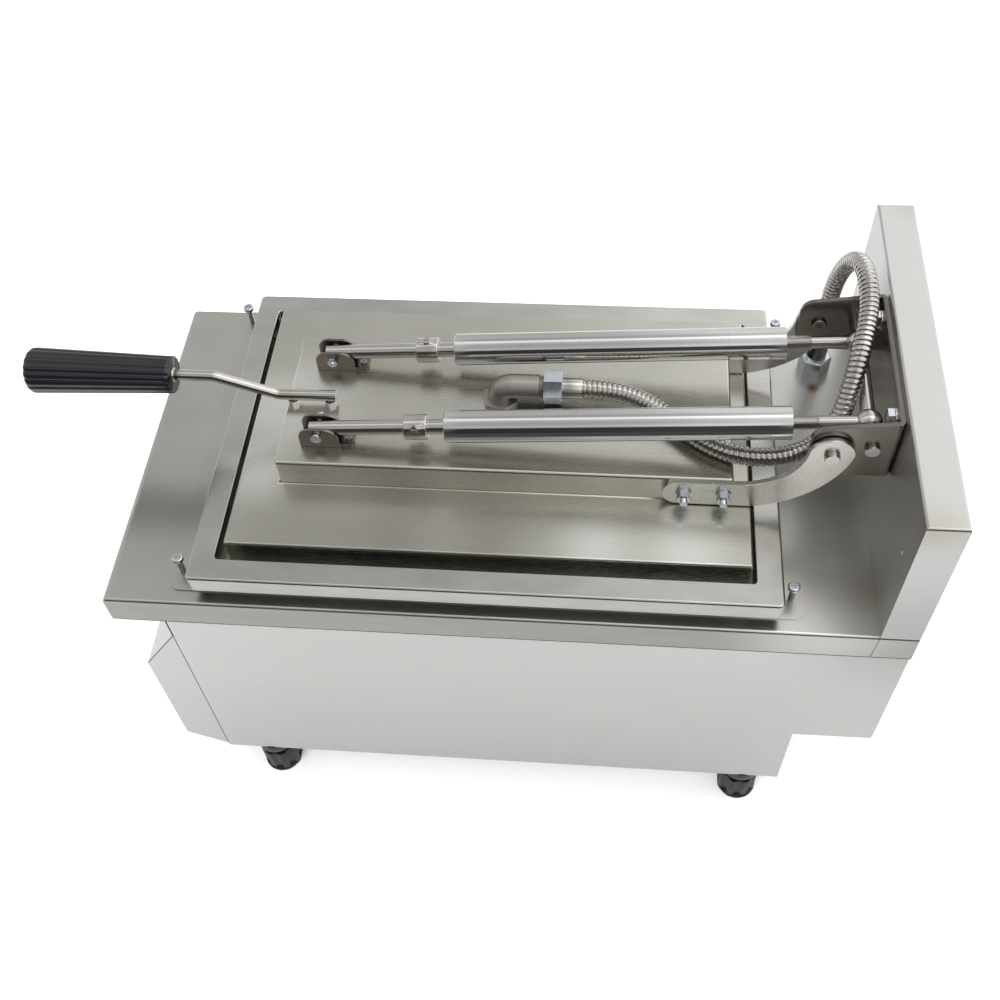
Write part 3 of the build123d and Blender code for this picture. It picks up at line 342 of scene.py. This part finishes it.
slot_of = {s["node"]: s["material_slot"] for s in frame["record"]["subparts"]}
for node, obj in nodes.items():
    look_name = "arm_steel" if node.startswith("hinge_arm") else slot_of[node]
    if node == "elbow_locknut":
        look_name = "elbow_steel"
    obj.data.materials.clear()
    obj.data.materials.append(looks[look_name])

# ---------------------------------------------------------------- softened edges on small hardware
hardware = [
    "bracket_bolts", "arm_bolts", "clevis_screws", "handle_nuts", "conduit_nut", "elbow_locknut",
    "deck_gland", "hinge_arm_right", "hinge_arm_left", "clevis_right", "clevis_left", "hinge_bracket",
    "feet", "control_fascia", "stop_collar_right", "stop_collar_left", "conduit_ferrule", "mains_gland",
    "terminal_block",
]
for node in hardware:
    weld = nodes[node].modifiers.new("weld", "WELD")
    weld.merge_threshold = 0.01 * MM
    soften = nodes[node].modifiers.new("soften", "BEVEL")
    soften.width = 0.3 * MM
    soften.segments = 2
    soften.limit_method = "ANGLE"
    soften.angle_limit = math.radians(40)


# ---------------------------------------------------------------- mesh helpers
def piece(name, points, faces, look_name, body, slot=None, replaces=(), smooth=True):
    """Mesh piece with a material, riding on a CAD body."""
    mesh = bpy.data.meshes.new(name)
    mesh.from_pydata(points, [], faces)
    mesh.validate()
    for polygon in mesh.polygons:
        polygon.use_smooth = smooth
    mesh.materials.append(looks[look_name])
    obj = bpy.data.objects.new(name, mesh)
    bpy.context.scene.collection.objects.link(obj)
    if body:
        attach(obj, body)
    if replaces:
        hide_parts(*replaces)
    return obj


def square_to(way):
    """Some direction square to another."""
    sideways = way.cross(Vector((0, 0, 1)))
    return (sideways if sideways.length > 0.1 else way.cross(Vector((1, 0, 0)))).normalized()


def block(under, over):
    """Points and faces of a six-sided block between two squares of corners."""
    return under + over, [(0, 1, 2, 3), (7, 6, 5, 4), (0, 4, 5, 1), (1, 5, 6, 2), (2, 6, 7, 3), (3, 7, 4, 0)]


def frames_along(points):
    """Each point with its distance along the line and two directions square to it, without twist."""
    ways = [(b - a).normalized() for a, b in zip(points, points[1:])]
    ways.append(ways[-1])
    across = square_to(ways[0])
    distance = 0.0
    found = []
    for index, (point, way) in enumerate(zip(points, ways)):
        across = (across - way * across.dot(way)).normalized()
        if index:
            distance += (point - points[index - 1]).length
        found.append((point, distance, across, way.cross(across)))
    return found


def swept(points, radius, segments=40):
    """Points and faces of a closed round bar along a line, whose radius(distance, turn) may vary."""
    rings = frames_along(points)
    verts, faces = [], []
    for point, distance, across, up in rings:
        for k in range(segments):
            turn = k / segments
            angle = 2 * math.pi * turn
            verts.append(point + (across * math.cos(angle) + up * math.sin(angle)) * radius(distance, turn))
    for ring in range(len(rings) - 1):
        for k in range(segments):
            a, b = ring * segments + k, ring * segments + (k + 1) % segments
            faces.append((a, b, b + segments, a + segments))
    faces.append(tuple(reversed(range(segments))))
    faces.append(tuple(range((len(rings) - 1) * segments, len(rings) * segments)))
    return verts, faces


def straight(start, end, step):
    """Evenly spaced points from start to end, about a step apart."""
    count = max(1, round((end - start).length / step))
    return [start.lerp(end, k / count) for k in range(count + 1)]


def thread(root, crest, pitch):
    """Radius of a screw thread with a rounded root and crest."""
    def radius(distance, turn):
        phase = (distance / pitch - turn) % 1.0
        return root + (crest - root) * (0.5 - 0.5 * math.cos(2 * math.pi * phase))
    return radius


def joined(*shapes):
    """Several point and face lists as one."""
    verts, faces = [], []
    for points, loops in shapes:
        base = len(verts)
        verts += points
        faces += [tuple(base + k for k in loop) for loop in loops]
    return verts, faces


def turned(origin, way, profile, segments=48):
    """Closed solid turned about an axis from (distance, radius) pairs that run round its section."""
    across = square_to(way)
    up = way.cross(across)
    verts, faces = [], []
    for distance, radius in profile:
        for k in range(segments):
            angle = 2 * math.pi * k / segments
            verts.append(origin + way * distance + (across * math.cos(angle) + up * math.sin(angle)) * radius)
    rings = len(profile)
    for ring in range(rings):
        for k in range(segments):
            a, b = ring * segments + k, ring * segments + (k + 1) % segments
            c = (ring + 1) % rings * segments
            faces.append((a, b, c + (k + 1) % segments, c + k))
    return verts, faces


# ---------------------------------------------------------------- flexible conduit
conduit_radius = 7.9 * MM
conduit_route = [
    (-0.008, 0.102, 0.4255),
    (-0.008, 0.126, 0.4255),
    (-0.001, 0.154, 0.4215),
    (0.020, 0.180, 0.419),
    (0.041, 0.204, 0.4185),
    (0.053, 0.232, 0.4185),
    (0.054, 0.262, 0.420),
    (0.047, 0.288, 0.426),
    (0.034, 0.306, 0.441),
    (0.019, 0.313, 0.461),
    (0.000, 0.319, 0.478),
    (-0.025, 0.325, 0.488),
    (-0.050, 0.329, 0.495),
    (-0.075, 0.328, 0.501),
    (-0.099, 0.324, 0.495),
    (-0.114, 0.319, 0.474),
    (-0.1195, 0.315, 0.448),
    (-0.119, 0.314, 0.418),
    (-0.119, 0.314, 0.384),
]


def smooth_line(route, steps):
    """Points of the smooth curve that a route's points control."""
    data = bpy.data.curves.new("route", "CURVE")
    data.dimensions = "3D"
    data.resolution_u = steps
    spline = data.splines.new("NURBS")
    spline.points.add(len(route) - 1)
    for point, place in zip(spline.points, route):
        point.co = (*place, 1)
    spline.order_u = 3
    spline.use_endpoint_u = True
    carrier = bpy.data.objects.new("route", data)
    mesh = bpy.data.meshes.new_from_object(carrier)
    points = [v.co.copy() for v in mesh.vertices]
    bpy.data.objects.remove(carrier)
    return points


def spaced(points, step):
    """The same line with evenly spaced points."""
    lengths = [0.0]
    for a, b in zip(points, points[1:]):
        lengths.append(lengths[-1] + (b - a).length)
    count = round(lengths[-1] / step)
    found, index = [], 0
    for k in range(count + 1):
        want = lengths[-1] * k / count
        while index < len(lengths) - 2 and lengths[index + 1] < want:
            index += 1
        share = (want - lengths[index]) / (lengths[index + 1] - lengths[index])
        found.append(points[index].lerp(points[index + 1], min(1.0, share)))
    return found


def wound_strip(distance, turn):
    """Radius of interlocked strip: a rounded band, then a narrow groove, once each pitch."""
    pitch, groove = 4.2 * MM, 1.7 * MM
    phase = (distance / pitch - turn) % 1.0
    edge = min(phase, 1 - phase) / 0.17
    return conduit_radius - groove * max(0.0, 1 - edge) ** 0.7


conduit_line = spaced(smooth_line(conduit_route, 24), 0.5 * MM)
verts, faces = swept(conduit_line, wound_strip, segments=36)
conduit = piece("conduit_hose", verts, faces, "conduit_steel", None, replaces=["conduit"])
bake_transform(conduit)


# ---------------------------------------------------------------- eye rods with rolled threads
def eye_rod(side, hand):
    """Threaded end of a strut tube, its smooth shank and the ball that turns on the cross shaft."""
    tube_end = 385.5 * MM
    thread_end = tube_end + 19 * MM
    shank = swept(straight(on_strut(side, thread_end), on_strut(side, strut_length - 8 * MM), 2 * MM),
                  lambda distance, turn: 5.2 * MM)
    screw = swept(straight(on_strut(side, tube_end - 11 * MM), on_strut(side, thread_end), 0.3 * MM),
                  thread(4.6 * MM, 6 * MM, 1.85 * MM))
    half, ball, bore = 6.5 * MM, 10.5 * MM, 6.06 * MM
    arc = [half * math.sin(math.radians(a)) for a in range(-90, 91, 15)]
    profile = [(x, math.sqrt(ball**2 - x**2)) for x in arc] + [(half, bore), (-half, bore)]
    eye = turned(Vector((side * abs(anchor.x), anchor.y, anchor.z)), Vector((1, 0, 0)), profile)
    verts, faces = joined(shank, screw, eye)
    piece(f"eye_rod_turned_{hand}", verts, faces, "rod_steel", f"strut_tube_{hand}",
          replaces=[f"eye_rod_{hand}"])


for side, hand in ((1, "right"), (-1, "left")):
    eye_rod(side, hand)


# ---------------------------------------------------------------- handle grip
def grip():
    """Fluted moulded grip with a domed outer end and a recess round the rod."""
    low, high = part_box("handle_grip")
    back = Vector(((low.x + high.x) / 2, high.y, (low.z + high.z) / 2))
    length = high.y - low.y
    outer, tail = (high.z - low.z) / 2, (high.z - low.z) / 2 * 0.8
    flutes, flute_depth, dome = 16, 1.0 * MM, 6.5 * MM
    way = Vector((0, -1, 0))

    def radius(distance, turn):
        body = tail + (outer - tail) * distance / length
        left = length - distance
        if left < dome:
            body *= 0.74 + 0.26 * math.sqrt(max(0.0, 1 - (1 - left / dome) ** 2))
        scallop = abs(math.sin(math.pi * flutes * turn)) ** 0.6
        return body - flute_depth * (1 - scallop)

    stations = straight(back, back + way * (length - dome), 4 * MM)
    stations += [back + way * (length - dome * (1 - k / 14)) for k in range(1, 15)]
    verts, faces = swept(stations, radius, segments=flutes * 10)
    piece("handle_grip_moulded", verts, faces, "grip_black", "lid", replaces=["handle_grip"])
    ferrule = turned(back + way * 5 * MM, -way, [(0, 4.75 * MM), (0, 6.6 * MM), (5.6 * MM, 6.2 * MM),
                                                 (6.2 * MM, 5.5 * MM), (6.2 * MM, 4.75 * MM)])
    piece("handle_ferrule", *ferrule, "rod_steel", "lid")


grip()


# ---------------------------------------------------------------- threads on screws and on the elbow
def screw_threads():
    """Rolled threads round the long screws that hold the spill frame."""
    low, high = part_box("frame_screws")
    half_head = 5 * MM
    shapes = []
    for x in (low.x + half_head, high.x - half_head):
        for y in (low.y + half_head, high.y - half_head):
            start = Vector((x, y, deck_z + 1.6 * MM))
            end = Vector((x, y, high.z - 3.6 * MM))
            shapes.append(swept(straight(start, end, 0.2 * MM), thread(2.26 * MM, 2.62 * MM, 0.9 * MM), 20))
    piece("frame_screw_threads", *joined(*shapes), "fastener_zinc", "root")


def elbow_threads():
    """Two coarse rings of thread between the elbow and the conduit nut."""
    nut_low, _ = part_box("conduit_nut")
    axis = centre("conduit_ferrule")
    start = Vector((axis.x, nut_low.y - 4.6 * MM, axis.z))
    end = Vector((axis.x, nut_low.y + 0.4 * MM, axis.z))
    piece("elbow_threads", *swept(straight(start, end, 0.2 * MM), thread(8.9 * MM, 9.9 * MM, 1.4 * MM)),
          "elbow_steel", "lid")


screw_threads()
elbow_threads()


# ---------------------------------------------------------------- painted shade in the seams between the folded sheets
def seam_shade_strip(name, side, path, width):
    """Thin dark strip of painted shade on the outer face of the cabinet's right (1) or left (-1) side."""
    lift = Vector((side * 0.05 * MM, 0, 0))
    strips = []
    for a, b in zip(path, path[1:]):
        wide = (b - a).normalized().cross(Vector((1, 0, 0))) * width / 2
        corners = [a - wide, a + wide, b + wide, b - wide]
        strips.append(block([corner - lift for corner in corners], [corner + lift for corner in corners]))
    piece(name, *joined(*strips), "seam_dark", "root", slot="cabinet_steel", smooth=False)


def cabinet_seam_shade(side, hand):
    """Painted shade in the gap round the control box's side and along the splash guard's corner, and the painted
    shadow line under the deck's skirt.
    """
    panel_low, panel_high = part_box(f"side_panel_{hand}")
    box_low, box_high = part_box("control_box")
    skirt_low, skirt_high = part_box("deck_top")
    face = panel_high.x if side == 1 else panel_low.x
    slope_top = Vector((face, panel_low.y, deck_z - 58 * MM))
    slope_foot = Vector((face, box_low.y, deck_z - 112 * MM))
    seam_shade_strip(f"panel_seam_shade_{hand}", side, [slope_top, Vector((face, panel_low.y, box_low.z))], 0.7 * MM)
    seam_shade_strip(f"panel_gap_shade_{hand}", side, [Vector((face, panel_low.y, skirt_low.z)), slope_top], 1.3 * MM)
    seam_shade_strip(f"slope_seam_shade_{hand}", side, [slope_top, slope_foot], 0.8 * MM)
    edge = skirt_high.x * side
    line_z = skirt_low.z + 0.4 * MM
    seam_shade_strip(f"skirt_shadow_line_{hand}", side, [Vector((edge, skirt_low.y + 8 * MM, line_z)),
                                      Vector((edge, skirt_high.y, line_z))], 0.8 * MM)
    corner = Vector((edge, splash_low.y, deck_z))
    seam_shade_strip(f"splash_shade_line_{hand}", side, [corner, Vector((edge, skirt_high.y, deck_z))], 0.6 * MM)
    seam_shade_strip(f"corner_shade_line_{hand}", side, [corner, Vector((edge, splash_low.y - 2 * MM, skirt_low.z))], 0.5 * MM)


cabinet_seam_shade(1, "right")
cabinet_seam_shade(-1, "left")


def box_foot():
    """Rounded bend that runs round the foot of the lid's raised box."""
    low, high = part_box("lid_box")
    radius, top = 1.6 * MM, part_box("lid_cover")[1].z
    corners = [(low.x, low.y), (high.x, low.y), (high.x, high.y), (low.x, high.y)]
    outward = [(-1, -1), (1, -1), (1, 1), (-1, 1)]
    verts, steps = [], 6
    for (x, y), (out_x, out_y) in zip(corners, outward):
        for k in range(steps + 1):
            angle = math.pi / 2 * k / steps
            out = radius * (1 - math.sin(angle))
            verts.append(Vector((x + out_x * out, y + out_y * out, top + radius * (1 - math.cos(angle)))))
    faces = []
    for corner in range(4):
        for k in range(steps):
            a, b = corner * (steps + 1) + k, (corner + 1) % 4 * (steps + 1) + k
            faces.append((a, b, b + 1, a + 1))
    piece("lid_box_foot", verts, faces, "lid_steel", "lid")


def foot_rims():
    """Plain round rim at the bottom of each foot, below its scallops."""
    low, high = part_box("feet")
    radius = 19 * MM
    profile = [(0, 0), (0, radius - 1.2 * MM), (0.35 * MM, radius - 0.35 * MM), (1.2 * MM, radius),
               (4.4 * MM, radius), (5.4 * MM, radius - 1.6 * MM), (5.4 * MM, 0)]
    places = [(x, y) for x in (low.x + radius, high.x - radius) for y in (low.y + radius, high.y - radius)]
    rims = [turned(Vector((x, y, low.z)), Vector((0, 0, 1)), profile) for x, y in places]
    piece("foot_rims", *joined(*rims), "foot_black", "root")


box_foot()
foot_rims()

def splash_rivet():
    """Small domed rivet head on the front of the splash guard."""
    profile = [(-0.3 * MM, 0), (-0.3 * MM, 1.6 * MM), (0.2 * MM, 1.5 * MM), (0.6 * MM, 0.8 * MM),
               (0.7 * MM, 0)]
    place = Vector((0.146, splash_low.y, deck_z + 88 * MM))
    piece("splash_rivet", *turned(place, Vector((0, -1, 0)), profile, 20), "fastener_zinc", "root")


splash_rivet()


# ---------------------------------------------------------------- dial marks
def dial_marks(node, labels, first_angle, sweep):
    """Ring of ticks and plain numbers round a knob, on the fascia."""
    place = centre(node)
    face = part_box("control_fascia")[0].y - 0.2 * MM
    shapes = []
    for k in range(len(labels) * 2 - 1):
        angle = math.radians(first_angle - sweep * k / (len(labels) * 2 - 2))
        way = Vector((math.cos(angle), 0, math.sin(angle)))
        wide = Vector((-way.z, 0, way.x)) * 0.4 * MM
        near, far = way * 22.5 * MM, way * ((26 if k % 2 == 0 else 24.5) * MM)
        base = Vector((place.x, face, place.z))
        deep = Vector((0, 0.3 * MM, 0))
        corners = [base + near - wide, base + near + wide, base + far + wide, base + far - wide]
        shapes.append(block(corners, [corner + deep for corner in corners]))
    piece(f"{node}_ticks", *joined(*shapes), "dial_white", "root", slot="fascia", smooth=False)
    for k, label in enumerate(labels):
        angle = math.radians(first_angle - sweep * k / (len(labels) - 1))
        text = bpy.data.curves.new(f"{node}_number_{k}", "FONT")
        text.body = label
        text.size = 6 * MM
        text.extrude = 0.1 * MM
        text.align_x = text.align_y = "CENTER"
        text.materials.append(looks["dial_white"])
        obj = bpy.data.objects.new(text.name, text)
        obj.rotation_euler = (math.pi / 2, 0, 0)
        obj.location = (place.x + 31.5 * MM * math.cos(angle), face, place.z + 31.5 * MM * math.sin(angle))
        bpy.context.scene.collection.objects.link(obj)
        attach(obj, "root")


dial_marks("temperature_knob", ["0", "50", "100", "150", "200", "250", "300"], 90, 300)
dial_marks("timer_knob", ["0", "1", "2", "3", "4", "5"], 90, 300)

# ---------------------------------------------------------------- floor and lights
bpy.ops.mesh.primitive_plane_add(size=24, location=(0, 0, 0))
floor = bpy.context.active_object
floor.name = "floor"
floor_look = material("floor", (0.93, 0.93, 0.93), 0.85, 0.0, (3, 3, 3), streak=0.01, cloud=0.01)
floor.data.materials.append(floor_look)


def dim_reflection(made, near, far):
    """Dim a floor in reflections, and blacken its far right side as a card laid there would."""
    tree = made.node_tree
    shader = tree.nodes["Principled BSDF"]
    across = coordinate(tree, add(tree, "ShaderNodeTexCoord").outputs["Object"], "X")
    reach = add(tree, "ShaderNodeMapRange", {"interpolation_type": "SMOOTHSTEP"},
                From_Min=near, From_Max=far, To_Min=0.33)
    tree.links.new(across, reach.inputs["Value"])
    glossy = add(tree, "ShaderNodeLightPath").outputs["Is Glossy Ray"]
    mirrored = maths(tree, "MULTIPLY", glossy, reach.outputs["Result"])
    plain = shader.inputs["Base Color"].links[0].from_socket
    tree.links.new(blend_colour(tree, mirrored, plain, (0.02, 0.02, 0.02, 1)), shader.inputs["Base Color"])


dim_reflection(floor_look, 0.6, 0.75)


def soft_light(name, place, target, size, power):
    """Large square lamp that lights matt surfaces and leaves the reflections to the surroundings."""
    data = bpy.data.lights.new(name, "AREA")
    data.size = size
    data.energy = power
    obj = bpy.data.objects.new(name, data)
    obj.location = place
    obj.rotation_mode = "QUATERNION"
    obj.rotation_quaternion = (Vector(target) - Vector(place)).to_track_quat("-Z", "Y")
    obj.visible_glossy = False
    bpy.context.scene.collection.objects.link(obj)


soft_light("key", (-1.4, 0.6, 3.4), (0, 0, 0.2), 3.0, 80)
soft_light("fill", (2.4, -0.8, 2.6), (0, 0, 0.1), 3.0, 130)


def banded(tree, source, reach, stops, full):
    """Brightness along a value that runs from -reach to reach, from stops given between -full and full."""
    share = add(tree, "ShaderNodeMapRange", From_Min=-reach, From_Max=reach)
    tree.links.new(source, share.inputs["Value"])
    bands = add(tree, "ShaderNodeValToRGB")
    elements = bands.color_ramp.elements
    while len(elements) < len(stops):
        elements.new(0.5)
    for element, (place, level) in zip(elements, stops):
        element.position = (place / full + 1) / 2
        element.color = (level, level, level, 1)
    tree.links.new(share.outputs["Result"], bands.inputs[0])
    return bands.outputs["Color"]


def studio():
    """Surroundings by direction: a bright strip overhead, dark to the right of it, bright at the back."""
    brightness, backdrop = 3.0, 1.0
    world = bpy.data.worlds.new("studio")
    world.use_nodes = True
    bpy.context.scene.world = world
    tree = world.node_tree
    background = tree.nodes["Background"]
    background.inputs["Color"].default_value = (1, 1, 1, 1)
    way = add(tree, "ShaderNodeTexCoord").outputs["Generated"]
    lean = maths(tree, "ARCTAN2", coordinate(tree, way, "X"), coordinate(tree, way, "Z"))
    overhead = banded(tree, lean, math.radians(90), [
        (-90, 0.4), (-60, 0.43), (-45, 0.46), (-36, 0.4), (-28, 0.33), (-20, 0.36), (-14, 0.5), (-10, 1.0),
        (-3, 0.9), (5, 0.5), (20, 0.37), (35, 0.37), (50, 0.5), (54, 0.4), (59, 0.03), (90, 0.03),
    ], 90)
    rear = banded(tree, coordinate(tree, way, "Y"), 1.0, [
        (-0.45, 0.5), (-0.3, 0.45), (-0.2, 0.41), (-0.1, 0.43), (-0.05, 0.52), (-0.01, 0.68), (0.06, 0.66),
        (0.12, 0.74), (0.24, 0.95), (0.4, 1.0),
    ], 1.0)
    reflected = maths(tree, "MULTIPLY", maths(tree, "MULTIPLY", overhead, rear), brightness)
    seen = add(tree, "ShaderNodeMix", {"data_type": "FLOAT"})
    tree.links.new(add(tree, "ShaderNodeLightPath").outputs["Is Camera Ray"], seen.inputs[0])
    feed(tree, seen.inputs[2], reflected)
    feed(tree, seen.inputs[3], backdrop)
    tree.links.new(seen.outputs[0], background.inputs["Strength"])


studio()
bpy.context.scene.view_settings.view_transform = "Standard"
